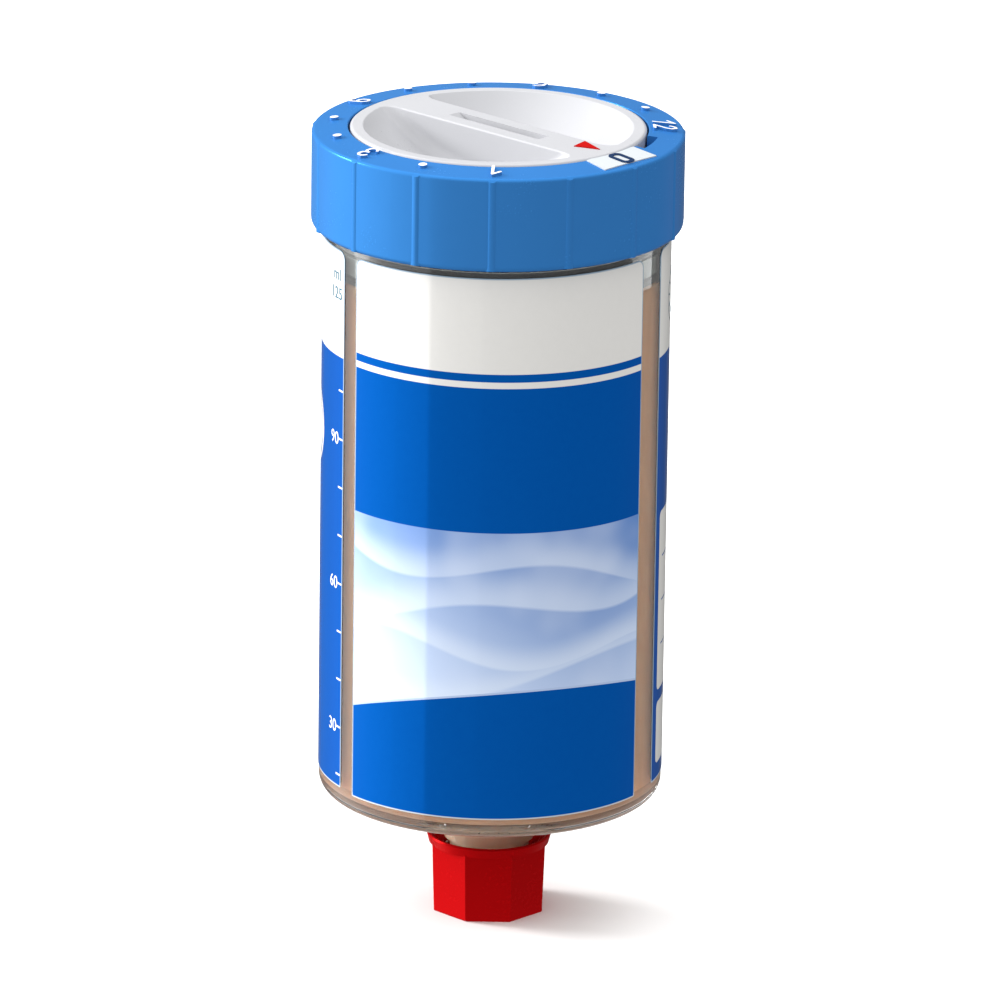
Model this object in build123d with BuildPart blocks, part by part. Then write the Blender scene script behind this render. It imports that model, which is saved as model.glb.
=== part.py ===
from build123d import *
import os
from math import atan2, cos, degrees, pi, radians, sin, sqrt

# Automatic single-point lubricator: a clear cylinder of grease with a gas-driven piston,
# a gripping ring with a 0 to 12 month scale, a setting dial and a screw cap on the outlet.
# Frame: Z is the cylinder axis, the outlet points down, the origin is the middle of the
# cap's closed end. Bearings on the scale are measured from -Y, positive towards +X.

os.makedirs("parts", exist_ok=True)

# ---------------------------------------------------------------- driving dimensions (mm)
# container
body_r = 25.0                # outside radius of the clear cylinder
bore_r = 23.2                # inside radius the piston runs in
upper_bore_r = 23.6          # wider seat for the top cover
cover_seat_z = 104.9         # height of the step that carries the top cover
body_bottom_z = 18.54
body_top_z = 114.0
spigot_r = 24.6              # top of the cylinder, inside the grip ring
spigot_z = 103.6
floor_z = 20.3
bottom_fillet = 2.3
collar_r = 6.6               # smooth collar above the thread
collar_z = 10.4
thread_root_r = 5.75         # G 1/4 root; the thread ridge is modelled as finish
nozzle_end_z = 1.8
outlet_r = 4.4
# film labels
label_t = 0.10
label_z0, label_z1 = 21.85, 102.7
rear_label_z0 = 22.2          # the rear film sits a little higher
label_corner, label_top_corner = 0.3, 1.3
front_label_from, front_label_to = -52.4, 56.4
rear_label_from, rear_label_to = 69.0, 300.6
# grease and piston
grease_top_z = 97.9
piston_r = 23.15
piston_top_z = 104.3
piston_floor_z = 99.9
piston_well_r = 21.35
# grip ring
ring_r = 26.75
ring_z0 = 104.0
ring_inner_z, ring_outer_z = 118.15, 117.62   # sloping top face, at the bore and at the rim
ring_bore_r = 21.35
ring_lip_r = 21.55
ring_fillet = 0.8            # lower edge
ring_top_fillet = 0.5
rib_count = 15
rib_phase = -1.6             # bearing of the first grip rib
rib_r = 1.0                  # a rib is the low, rounded side of an upright cylinder
rib_proud = 0.15
scale_phase = -2.4           # bearing of the numeral 1; the scale runs in steps of 24
relief = 0.42                # height of the numerals and dots above the ring
flag_relief = 0.15           # the zero flag is thin
mark_r = 23.85               # radius of the middle of the marks
digit_h, digit_w, stroke = 3.5, 1.9, 0.43
# dial
dial_r = 21.28
dial_z0, dial_z1 = 109.6, 118.29
bar_half = 3.5               # half width of the finger bridge
well_sphere_r = 30.0
well_depth = 7.1
well_corner = 1.6
dial_wall = 1.3
slot_l, slot_w, slot_d = 18.0, 2.15, 2.6
zero_at = scale_phase + 48   # bearing of the zero mark; the bridge points at it
stud_r = 3.0
stud_end_z = 103.0
# top cover, board and cells
cover_r = 23.55
cover_z1 = 107.0
board_t = 1.0
cell_r = 5.8
cell_at_r = 12.5
# screw cap
cap_flat_bottom, cap_flat_top = 7.9, 8.25     # octagon, centre to flat
cap_flare_z, cap_rim_z = 10.1, 11.6
cap_flare_r, cap_rim_r = 8.8, 9.15
cap_bore_r = 6.75
cap_end_t = 1.2


def direction(bearing):
    """Unit vector in XY for a bearing measured from -Y towards +X."""
    a = radians(bearing - 90)
    return Vector(cos(a), sin(a), 0)


def at(bearing, r, z=0.0):
    return tuple(direction(bearing) * r + Vector(0, 0, z))


def at_xy(bearing, r):
    return at(bearing, r)[:2]


# ---------------------------------------------------------------- clear container
with BuildPart() as container:
    with BuildSketch(Plane.XZ):
        with BuildLine():
            Polyline(
                (outlet_r, nozzle_end_z), (thread_root_r - 0.5, nozzle_end_z),
                (thread_root_r, nozzle_end_z + 0.5), (thread_root_r, collar_z),
                (collar_r, collar_z + 0.55), (collar_r, body_bottom_z),
                (body_r, body_bottom_z), (body_r, spigot_z), (spigot_r, spigot_z),
                (spigot_r, body_top_z), (upper_bore_r, body_top_z),
                (upper_bore_r, cover_seat_z), (bore_r, cover_seat_z), (bore_r, floor_z),
                (outlet_r + 2.4, floor_z), (outlet_r, floor_z - 2.4),
                close=True,
            )
        make_face()
    revolve(axis=Axis.Z)
    outer_edge = container.edges().filter_by(GeomType.CIRCLE).filter_by(
        lambda e: abs(e.radius - body_r) < 1e-4 and abs(e.center().Z - body_bottom_z) < 1e-4)
    fillet(outer_edge, radius=bottom_fillet)
    inner_edge = container.edges().filter_by(GeomType.CIRCLE).filter_by(
        lambda e: abs(e.radius - bore_r) < 1e-4 and abs(e.center().Z - floor_z) < 1e-4)
    fillet(inner_edge, radius=1.5)
    neck_edge = container.edges().filter_by(GeomType.CIRCLE).filter_by(
        lambda e: abs(e.radius - collar_r) < 1e-4 and abs(e.center().Z - body_bottom_z) < 1e-4)
    fillet(neck_edge, radius=0.6)
container.part.label = "container"


# ---------------------------------------------------------------- film labels
def film_outline(b0, b1):
    a0, span = b0 - 90, b1 - b0
    CenterArc((0, 0), body_r, a0, span)
    CenterArc((0, 0), body_r + label_t, a0, span)
    Line(at_xy(b0, body_r), at_xy(b0, body_r + label_t))
    Line(at_xy(b1, body_r), at_xy(b1, body_r + label_t))


with BuildPart() as front_label:
    with BuildSketch(Plane.XY.offset(label_z0)):
        with BuildLine():
            film_outline(front_label_from, front_label_to)
        make_face()
    extrude(amount=label_z1 - label_z0)
    corners = front_label.edges().filter_by(lambda e: abs(e.length - label_t) < 0.01)
    fillet(corners.filter_by(lambda e: e.center().Z < 60), radius=label_corner)
    corners = front_label.edges().filter_by(
        lambda e: abs(e.length - label_t) < 0.01 and e.center().Z > label_z1 - 0.01)
    fillet(corners, radius=label_top_corner)
front_label.part.label = "front_label"

with BuildPart() as rear_label:
    with BuildSketch(Plane.XY.offset(rear_label_z0)):
        with BuildLine():
            film_outline(rear_label_from, rear_label_to)
        make_face()
    extrude(amount=label_z1 - rear_label_z0)
    corners = rear_label.edges().filter_by(lambda e: abs(e.length - label_t) < 0.01)
    fillet(corners.filter_by(lambda e: e.center().Z < 60), radius=label_corner)
    corners = rear_label.edges().filter_by(
        lambda e: abs(e.length - label_t) < 0.01 and e.center().Z > label_z1 - 0.01)
    fillet(corners, radius=label_top_corner)
rear_label.part.label = "rear_label"

# ---------------------------------------------------------------- grease charge
with BuildPart() as grease:
    with BuildSketch(Plane.XY.offset(floor_z + 0.02)):
        Circle(piston_r)
    extrude(amount=grease_top_z - floor_z - 0.04)
    fillet(grease.faces().sort_by(Axis.Z)[0].edges(), radius=1.55)
grease.part.label = "grease"

with BuildPart() as outlet_grease:
    with BuildSketch(Plane.XZ):
        with BuildLine():
            Polyline((0, nozzle_end_z + 0.1), (outlet_r - 0.05, nozzle_end_z + 0.1),
                     (outlet_r - 0.05, floor_z - 2.45), (outlet_r + 2.3, floor_z - 0.02),
                     (0, floor_z - 0.02), close=True)
        make_face()
    revolve(axis=Axis.Z)
outlet_grease.part.label = "outlet_grease"

# ---------------------------------------------------------------- piston and its seals
with BuildPart() as piston:
    with BuildSketch(Plane.XZ):
        with BuildLine():
            Polyline(
                (0, grease_top_z), (22.2, grease_top_z), (22.2, 99.2), (piston_r, 99.2),
                (piston_r, 101.9), (22.2, 101.9), (22.2, 103.1), (piston_r, 103.1),
                (piston_r, piston_top_z), (piston_well_r, piston_top_z),
                (piston_well_r, piston_floor_z), (0, piston_floor_z), close=True,
            )
        make_face()
    revolve(axis=Axis.Z)
    # stiffening ribs in the floor of the well
    with BuildSketch(Plane.XY.offset(piston_floor_z - 0.01)):
        with PolarLocations(0, 6):
            with Locations((20.65, 0)):
                Rectangle(1.6, 0.9)
    extrude(amount=2.5)
piston.part.label = "piston"

with BuildPart() as piston_seals:
    with BuildSketch(Plane.XZ):
        with BuildLine():
            Polyline((22.22, grease_top_z + 0.02), (piston_r + 0.02, grease_top_z + 0.02),
                     (piston_r - 0.25, 98.6), (piston_r + 0.02, 99.16), (22.22, 99.16),
                     close=True)
        make_face()
        with BuildLine():
            Polyline((22.22, 101.94), (piston_r - 0.2, 101.94), (piston_r + 0.02, 102.5),
                     (piston_r - 0.2, 103.06), (22.22, 103.06), close=True)
        make_face()
    revolve(axis=Axis.Z)
piston_seals.part.label = "piston_seals"

# ---------------------------------------------------------------- grip ring
with BuildPart() as top_ring:
    with BuildSketch(Plane.XZ):
        with BuildLine():
            Polyline(
                (spigot_r + 0.04, ring_z0), (ring_r, ring_z0), (ring_r, ring_outer_z),
                (ring_lip_r, ring_inner_z), (ring_lip_r, 115.6), (ring_bore_r, 115.4),
                (ring_bore_r, cover_z1), (upper_bore_r - 0.05, cover_z1),
                (upper_bore_r - 0.05, body_top_z + 0.15), (spigot_r + 0.04, body_top_z + 0.15),
                close=True,
            )
        make_face()
    revolve(axis=Axis.Z)
    for rim_z, rim_fillet in ((ring_z0, ring_fillet), (ring_outer_z, ring_top_fillet)):
        rim_edge = top_ring.edges().filter_by(GeomType.CIRCLE).filter_by(
            lambda e: abs(e.radius - ring_r) < 1e-4 and abs(e.center().Z - rim_z) < 1e-3)
        fillet(rim_edge, radius=rim_fillet)
    lip_edge = top_ring.edges().filter_by(GeomType.CIRCLE).filter_by(
        lambda e: abs(e.radius - ring_lip_r) < 1e-4 and abs(e.center().Z - ring_inner_z) < 1e-3)
    fillet(lip_edge, radius=0.15)
    # low rounded grip ribs, flat at the foot and bevelled under the top edge
    with Locations(*[at(rib_phase + 24 * k, ring_r + rib_proud - rib_r, ring_z0 + 0.25)
                     for k in range(rib_count)]):
        Cylinder(rib_r, 13.2, align=(Align.CENTER, Align.CENTER, Align.MIN))
    with BuildSketch(Plane.XZ):
        with BuildLine():
            Polyline((26.45, 117.75), (27.2, 117.75), (27.2, 116.9), close=True)
        make_face()
    revolve(axis=Axis.Z, mode=Mode.SUBTRACT)
    # notch in the bore between 12 and 0, where a removal tool goes
    with BuildSketch(Plane.XY.offset(115.7)):
        with BuildLine():
            n0, n1 = 64.0, 80.0
            CenterArc((0, 0), 21.0, n0 - 90, n1 - n0)
            CenterArc((0, 0), 23.1, n0 - 90, n1 - n0)
            Line(at_xy(n0, 21.0), at_xy(n0, 23.1))
            Line(at_xy(n1, 21.0), at_xy(n1, 23.1))
        make_face()
    extrude(amount=3, mode=Mode.SUBTRACT)
top_ring.part.label = "top_ring"


def ring_top(r):
    """Height of the ring's sloping top face at radius r."""
    t = (r - ring_lip_r) / (ring_r - ring_lip_r)
    return ring_inner_z + t * (ring_outer_z - ring_inner_z)


# ---------------------------------------------------------------- raised scale
def glyph(name):
    """Strokes of one digit as point lists, x to the right, y up, in digit heights."""
    h, w = digit_h - stroke, digit_w - stroke
    x0, x1, y0, y1 = -w / 2, w / 2, -h / 2, h / 2
    if name == "1":
        return [[(-0.28, y0), (-0.28, y1), (-1.36, y1 - 0.95)]]
    if name == "2":
        return [[(x0, y1 - 0.75), (x0 + 0.35, y1 - 0.1), (0.25, y1), (x1, y1 - 0.7),
                 (x1 - 0.15, y1 - 1.35), (x0, y0), (x1, y0)]]
    if name == "3":
        return [[(x0, y1 - 0.5), (x0 + 0.4, y1), (x1 - 0.4, y1), (x1, y1 - 0.45),
                 (x1, 0.5), (x1 - 0.45, 0.05), (-0.1, 0.05)],
                [(x1 - 0.45, 0.05), (x1, -0.4), (x1, y0 + 0.45), (x1 - 0.4, y0),
                 (x0 + 0.4, y0), (x0, y0 + 0.5)]]
    if name == "6":
        return [[(x1 - 0.1, y1 - 0.3), (x1 - 0.5, y1), (x0 + 0.55, y1), (x0, y1 - 0.6),
                 (x0, y0 + 0.5), (x0 + 0.45, y0), (x1 - 0.45, y0), (x1, y0 + 0.45),
                 (x1, -0.25), (x1 - 0.45, 0.15), (x0 + 0.45, 0.15), (x0, -0.25)]]
    if name == "9":
        return [[(-x, -y) for x, y in glyph("6")[0]]]
    return []


marks = {scale_phase - 24 * k: text
         for k, text in ((0, "1"), (2, "3"), (5, "6"), (8, "9"), (11, "12"))}
dots = [scale_phase - 24 * k for k in (1, 3, 4, 6, 7, 9, 10)]

with BuildPart() as scale_marks:
    for bearing, text in marks.items():
        spacing = digit_w + 0.3
        for i, digit in enumerate(text):
            shift = (i - (len(text) - 1) / 2) * spacing
            up = direction(bearing)
            right = Vector(up.Y, -up.X, 0)
            plane = Plane(origin=tuple(up * mark_r + right * shift + Vector(0, 0, 116.9)),
                          x_dir=tuple(right), z_dir=(0, 0, 1))
            for line in glyph(digit):
                with BuildSketch(plane):
                    for p, q in zip(line, line[1:]):
                        length = sqrt((q[0] - p[0]) ** 2 + (q[1] - p[1]) ** 2)
                        turn = degrees(atan2(q[1] - p[1], q[0] - p[0]))
                        with Locations(Location(((p[0] + q[0]) / 2, (p[1] + q[1]) / 2, 0),
                                                (0, 0, turn))):
                            SlotCenterToCenter(length, stroke)
                extrude(amount=3)
    for bearing in dots:
        with BuildSketch(Plane.XY.offset(116.9)):
            with Locations(at_xy(bearing, mark_r)):
                Circle(0.62)
        extrude(amount=3)
    # keep only the band that stands on the ring's sloping face
    with BuildSketch(Plane.XZ):
        with BuildLine():
            Polyline((21.6, ring_top(21.6)), (26.2, ring_top(26.2)),
                     (26.2, ring_top(26.2) + relief), (21.6, ring_top(21.6) + relief),
                     close=True)
        make_face()
    revolve(axis=Axis.Z, mode=Mode.INTERSECT)
scale_marks.part.label = "scale_marks"

with BuildPart() as zero_flag:
    with BuildSketch(Plane.XY.offset(116.9)):
        with BuildLine():
            Polyline(at_xy(zero_at - 10.6, 21.8), at_xy(zero_at - 10.1, 25.97),
                     at_xy(zero_at + 13.8, 26.07), at_xy(zero_at + 16.2, 21.75), close=True)
        make_face()
    extrude(amount=3)
    with BuildSketch(Plane.XZ):
        with BuildLine():
            Polyline((21.6, ring_top(21.6)), (26.2, ring_top(26.2)),
                     (26.2, ring_top(26.2) + flag_relief), (21.6, ring_top(21.6) + flag_relief),
                     close=True)
        make_face()
    revolve(axis=Axis.Z, mode=Mode.INTERSECT)
zero_flag.part.label = "zero_flag"

with BuildPart() as zero_numeral:
    zero_up = direction(zero_at + 2)
    with BuildSketch(Plane(origin=at(zero_at + 2, 23.65, 116.9),
                           x_dir=(zero_up.Y, -zero_up.X, 0), z_dir=(0, 0, 1))):
        RectangleRounded(2.4, 3.8, 0.9)
        RectangleRounded(2.4 - 1.2, 3.8 - 1.2, 0.45, mode=Mode.SUBTRACT)
    extrude(amount=3)
    with BuildSketch(Plane.XZ):
        with BuildLine():
            Polyline((21.6, ring_top(21.6) + flag_relief), (26.2, ring_top(26.2) + flag_relief),
                     (26.2, ring_top(26.2) + flag_relief + 0.12),
                     (21.6, ring_top(21.6) + flag_relief + 0.12), close=True)
        make_face()
    revolve(axis=Axis.Z, mode=Mode.INTERSECT)
zero_numeral.part.label = "zero_numeral"

# ---------------------------------------------------------------- setting dial
bar_dir = direction(zero_at)
well_centre_z = dial_z1 - well_depth + well_sphere_r


def beyond_bar(distance, r, z, height):
    """Two half discs, of radius r, on either side of a strip 2 x distance wide."""
    disc = Solid.make_cylinder(r, height, Plane.XY.offset(z))
    strip = Plane(origin=(0, 0, z), x_dir=tuple(bar_dir), z_dir=(0, 0, 1)).location * Box(
        4 * r, 2 * distance, 3 * height)
    return disc - strip


# the two bowl-shaped finger wells, one on each side of the bridge
wells = beyond_bar(bar_half, dial_r + 1, dial_z1 - 12, 13) & Pos(0, 0, well_centre_z) * Sphere(
    well_sphere_r)
# each bowl runs into the bridge's wall through a soft corner
wells = wells.fillet(well_corner, [e for e in wells.edges()
                                   if e.geom_type == GeomType.CIRCLE
                                   and e.bounding_box().min.Z < dial_z1 - 3])
# the hollow underside, which follows the bowls one wall thickness below them
under = Solid.make_cylinder(18.9, 7.9, Plane.XY.offset(dial_z0 - 0.5)) - (
    beyond_bar(bar_half - dial_wall, 24, dial_z0 - 6, 20)
    & Pos(0, 0, well_centre_z) * Sphere(well_sphere_r + dial_wall))
under = under - Solid.make_cylinder(6.5, 12, Plane.XY.offset(dial_z0 - 1))
under = under - Plane(origin=(0, 0, 118.0), x_dir=tuple(bar_dir), z_dir=(0, 0, 1)).location * Box(
    46, 9, 8.6)

with BuildPart() as dial:
    with BuildSketch(Plane.XY.offset(dial_z0)):
        Circle(dial_r)
    extrude(amount=dial_z1 - dial_z0)
    add(wells, mode=Mode.SUBTRACT)
    well_edges = dial.edges().filter_by(
        lambda e: abs(e.bounding_box().max.Z - dial_z1) < 1e-3
        and abs(e.bounding_box().min.Z - dial_z1) < 1e-3)
    fillet(well_edges.filter_by(lambda e: e.geom_type == GeomType.CIRCLE
                                and abs(e.radius - dial_r) < 1e-3), radius=0.45)
    fillet(well_edges.filter_by(lambda e: not (e.geom_type == GeomType.CIRCLE
                                               and abs(e.radius - dial_r) < 1e-3)), radius=0.25)
    add(under, mode=Mode.SUBTRACT)
    # coin slot with a curved floor, along the bridge
    coin_r = ((slot_l / 2) ** 2 + slot_d ** 2) / (2 * slot_d)
    coin_plane = Plane(origin=(0, 0, dial_z1 - slot_d + coin_r), x_dir=tuple(bar_dir),
                       z_dir=(-bar_dir.Y, bar_dir.X, 0))
    with BuildSketch(coin_plane):
        Circle(coin_r)
    extrude(amount=slot_w / 2, both=True, mode=Mode.SUBTRACT)
    # ring groove for the seal
    with BuildSketch(Plane.XZ):
        with BuildLine():
            Polyline((20.3, 112.2), (22.0, 112.2), (22.0, 113.4), (20.3, 113.4), close=True)
        make_face()
    revolve(axis=Axis.Z, mode=Mode.SUBTRACT)
    # stud with a clip groove
    with BuildSketch(Plane.XZ):
        with BuildLine():
            Polyline((0, stud_end_z), (stud_r - 0.5, stud_end_z), (stud_r, stud_end_z + 0.5),
                     (stud_r, 103.9), (2.4, 103.9), (2.4, 104.85), (stud_r, 104.85),
                     (stud_r, 110.6), (0, 110.6), close=True)
        make_face()
    revolve(axis=Axis.Z)
dial.part.label = "dial"

# red direction mark on the end of the bridge
with BuildPart() as dial_pointer:
    with BuildSketch(Plane(origin=(0, 0, dial_z1), x_dir=tuple(bar_dir), z_dir=(0, 0, 1))):
        with BuildLine():
            Polyline((14.4, 2.9), (15.2, -0.2), (18.9, 1.3), close=True)
        make_face()
    extrude(amount=0.12)
dial_pointer.part.label = "dial_pointer"

with BuildPart() as dial_seal:
    with BuildSketch(Plane.XZ):
        with Locations((20.82, 112.8)):
            Ellipse(0.50, 0.56)
    revolve(axis=Axis.Z)
dial_seal.part.label = "dial_seal"

with BuildPart() as dial_retainer:
    with BuildSketch(Plane.XY.offset(104.05)):
        Circle(5.2)
        Circle(2.42, mode=Mode.SUBTRACT)
        with Locations((-4.2, 0)):
            Rectangle(4.0, 3.6, mode=Mode.SUBTRACT)
        with PolarLocations(4.1, 3, start_angle=0):
            Circle(0.45, mode=Mode.SUBTRACT)
    extrude(amount=0.7)
dial_retainer.part.label = "dial_retainer"

# spring finger under the dial that picks the month contact on the board
with BuildPart() as contact_wiper:
    with BuildSketch(Plane(origin=(0, 0, dial_z0 - 0.3), x_dir=tuple(bar_dir),
                           z_dir=(0, 0, 1))):
        Circle(5.6)
        with Locations((8.6, 0)):
            SlotOverall(9.0, 2.4)
        Circle(stud_r + 0.02, mode=Mode.SUBTRACT)
    extrude(amount=0.3)
    with Locations(at(zero_at, 11.6, 108.15)):
        Cylinder(0.8, dial_z0 - 0.15 - 108.15, align=(Align.CENTER, Align.CENTER, Align.MIN))
contact_wiper.part.label = "contact_wiper"

# ---------------------------------------------------------------- top cover and electrics
with BuildPart() as top_cover:
    with BuildSketch(Plane.XZ):
        with BuildLine():
            Polyline((stud_r + 0.06, cover_seat_z), (cover_r, cover_seat_z), (cover_r, 105.35),
                     (22.45, 105.35), (22.45, 106.55), (cover_r, 106.55), (cover_r, cover_z1 - 0.02),
                     (stud_r + 0.06, cover_z1 - 0.02), close=True)
        make_face()
    revolve(axis=Axis.Z)
    # gas ports beside the stud
    with PolarLocations(7.9, 3, start_angle=30):
        Hole(0.6)
top_cover.part.label = "top_cover"

with BuildPart() as cover_seal:
    with BuildSketch(Plane.XZ):
        with Locations((23.0, 105.95)):
            Circle(0.53)
    revolve(axis=Axis.Z)
cover_seal.part.label = "cover_seal"

with BuildPart() as circuit_board:
    with BuildSketch(Plane.XY.offset(cover_z1)):
        Circle(20.9)
        Circle(4.2, mode=Mode.SUBTRACT)
        with PolarLocations(20.9, 3, start_angle=90):
            Circle(1.3, mode=Mode.SUBTRACT)
    extrude(amount=board_t)
circuit_board.part.label = "circuit_board"

with BuildPart() as resistors:
    for k in range(12):
        b = scale_phase - 24 * k
        spot = Plane(origin=at(b, 16.6, cover_z1 + board_t + 0.01),
                     x_dir=tuple(direction(b)), z_dir=(0, 0, 1))
        with BuildSketch(spot):
            Rectangle(2.0, 1.25)
        extrude(amount=0.5)
resistors.part.label = "resistors"

# holder for the cells: a low drum with three round pockets
cell_bearings = (180.0, 60.0, -60.0)
with BuildPart() as cell_holder:
    with BuildSketch(Plane.XY.offset(100.7)):
        Circle(19.3)
        Circle(5.7, mode=Mode.SUBTRACT)
        with Locations(*[at_xy(b, cell_at_r) for b in cell_bearings]):
            Circle(cell_r + 0.05, mode=Mode.SUBTRACT)
    extrude(amount=cover_seat_z - 0.02 - 100.7)
    # lips that keep the cells in
    with BuildSketch(Plane.XY.offset(100.7)):
        with Locations(*[at_xy(b, cell_at_r) for b in cell_bearings]):
            Circle(cell_r + 0.2)
            Circle(cell_r - 0.6, mode=Mode.SUBTRACT)
    extrude(amount=0.3)
cell_holder.part.label = "cell_holder"

with BuildPart() as batteries:
    for b in cell_bearings[1:]:
        with BuildSketch(Plane.XY.offset(101.05)):
            with Locations(at_xy(b, cell_at_r)):
                Circle(cell_r)
        extrude(amount=2.7)
        with BuildSketch(Plane.XY.offset(103.75)):
            with Locations(at_xy(b, cell_at_r)):
                Circle(4.7)
        extrude(amount=0.5)
batteries.part.label = "batteries"

with BuildPart() as gas_cell:
    with BuildSketch(Plane.XY.offset(101.05)):
        with Locations(at_xy(cell_bearings[0], cell_at_r)):
            Circle(cell_r)
    extrude(amount=2.9)
    with BuildSketch(Plane.XY.offset(103.95)):
        with Locations(at_xy(cell_bearings[0], cell_at_r)):
            Circle(4.0)
    extrude(amount=0.3)
    # gas outlet holes in the lower face
    with BuildSketch(Plane.XY.offset(101.0)):
        with Locations(at_xy(cell_bearings[0], cell_at_r)):
            with PolarLocations(2.2, 4):
                Circle(0.35)
    extrude(amount=0.5, mode=Mode.SUBTRACT)
gas_cell.part.label = "gas_cell"

with BuildPart() as contact_springs:
    for b in cell_bearings:
        with BuildSketch(Plane.XY.offset(104.27)):
            with Locations(at_xy(b, cell_at_r)):
                Circle(1.8)
        extrude(amount=0.2)
        with BuildSketch(Plane.XY.offset(104.47)):
            with Locations(at_xy(b, cell_at_r)):
                Circle(4.2)
                Circle(1.2, mode=Mode.SUBTRACT)
        extrude(amount=0.2)
        with BuildSketch(Plane.XY.offset(104.67)):
            with Locations(at_xy(b, cell_at_r)):
                Circle(5.0)
                Circle(3.9, mode=Mode.SUBTRACT)
        extrude(amount=0.2)
contact_springs.part.label = "contact_springs"

# ---------------------------------------------------------------- screw cap
with BuildPart() as thread_cap:
    with BuildSketch(Plane.XY):
        RegularPolygon(cap_flat_bottom, 8, major_radius=False, rotation=22.5)
    with BuildSketch(Plane.XY.offset(cap_flare_z + 0.2)):
        RegularPolygon(cap_flat_top, 8, major_radius=False, rotation=22.5)
    loft()
    fillet(thread_cap.faces().sort_by(Axis.Z)[0].edges(), radius=0.25)
    # flared rim
    with BuildSketch(Plane.XZ):
        with BuildLine():
            Polyline((0, cap_flare_z), (cap_flare_r, cap_flare_z), (cap_rim_r, cap_rim_z - 0.2),
                     (cap_rim_r - 0.15, cap_rim_z), (0, cap_rim_z), close=True)
        make_face()
    revolve(axis=Axis.Z)
    # threaded bore and open mouth
    with BuildSketch(Plane.XZ):
        with BuildLine():
            Polyline((0, cap_end_t), (cap_bore_r - 0.5, cap_end_t), (cap_bore_r, cap_end_t + 0.5),
                     (cap_bore_r, 9.3), (8.7, cap_rim_z), (8.7, cap_rim_z + 1),
                     (0, cap_rim_z + 1), close=True)
        make_face()
    revolve(axis=Axis.Z, mode=Mode.SUBTRACT)
thread_cap.part.label = "thread_cap"

# ---------------------------------------------------------------- files
export_step(container.part, "parts/container.step")
export_step(front_label.part, "parts/front_label.step")
export_step(rear_label.part, "parts/rear_label.step")
export_step(grease.part, "parts/grease.step")
export_step(outlet_grease.part, "parts/outlet_grease.step")
export_step(piston.part, "parts/piston.step")
export_step(piston_seals.part, "parts/piston_seals.step")
export_step(top_ring.part, "parts/top_ring.step")
export_step(scale_marks.part, "parts/scale_marks.step")
export_step(zero_flag.part, "parts/zero_flag.step")
export_step(zero_numeral.part, "parts/zero_numeral.step")
export_step(dial.part, "parts/dial.step")
export_step(dial_pointer.part, "parts/dial_pointer.step")
export_step(dial_seal.part, "parts/dial_seal.step")
export_step(dial_retainer.part, "parts/dial_retainer.step")
export_step(contact_wiper.part, "parts/contact_wiper.step")
export_step(top_cover.part, "parts/top_cover.step")
export_step(cover_seal.part, "parts/cover_seal.step")
export_step(circuit_board.part, "parts/circuit_board.step")
export_step(resistors.part, "parts/resistors.step")
export_step(cell_holder.part, "parts/cell_holder.step")
export_step(batteries.part, "parts/batteries.step")
export_step(gas_cell.part, "parts/gas_cell.step")
export_step(contact_springs.part, "parts/contact_springs.step")
export_step(thread_cap.part, "parts/thread_cap.step")
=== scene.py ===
from math import asin, atan2, cos, degrees, pi, radians, sin, sqrt, tan

import bmesh
import bpy
from mathutils import Matrix, Vector

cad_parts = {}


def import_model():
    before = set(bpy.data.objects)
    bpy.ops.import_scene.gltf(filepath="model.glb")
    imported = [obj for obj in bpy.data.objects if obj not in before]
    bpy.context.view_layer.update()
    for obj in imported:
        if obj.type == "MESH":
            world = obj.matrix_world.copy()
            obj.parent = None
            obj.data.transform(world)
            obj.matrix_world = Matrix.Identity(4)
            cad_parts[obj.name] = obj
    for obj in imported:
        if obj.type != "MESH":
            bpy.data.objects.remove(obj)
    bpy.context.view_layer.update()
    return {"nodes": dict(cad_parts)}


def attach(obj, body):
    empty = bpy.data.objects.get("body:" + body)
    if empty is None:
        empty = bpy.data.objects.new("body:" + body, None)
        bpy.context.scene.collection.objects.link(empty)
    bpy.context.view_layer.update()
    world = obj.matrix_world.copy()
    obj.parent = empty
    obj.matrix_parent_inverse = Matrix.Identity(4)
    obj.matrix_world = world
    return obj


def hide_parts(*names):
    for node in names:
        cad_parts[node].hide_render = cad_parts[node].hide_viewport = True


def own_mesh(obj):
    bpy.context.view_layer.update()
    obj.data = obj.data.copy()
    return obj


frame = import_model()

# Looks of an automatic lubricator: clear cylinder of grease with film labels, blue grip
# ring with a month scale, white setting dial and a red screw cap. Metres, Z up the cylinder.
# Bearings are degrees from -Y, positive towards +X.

scene = bpy.context.scene
nodes = frame["nodes"]
MM = 0.001
LABEL_R = 25.1               # outside radius of the film labels, mm
WHEEL_U = 39.9               # month wheel on the right side, mm round the film from the back


def lin(r, g, b, a=1.0):
    """sRGB 0-255 to linear colour."""
    def one(c):
        c = c / 255.0
        return c / 12.92 if c <= 0.04045 else ((c + 0.055) / 1.055) ** 2.4
    return (one(r), one(g), one(b), a)


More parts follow.
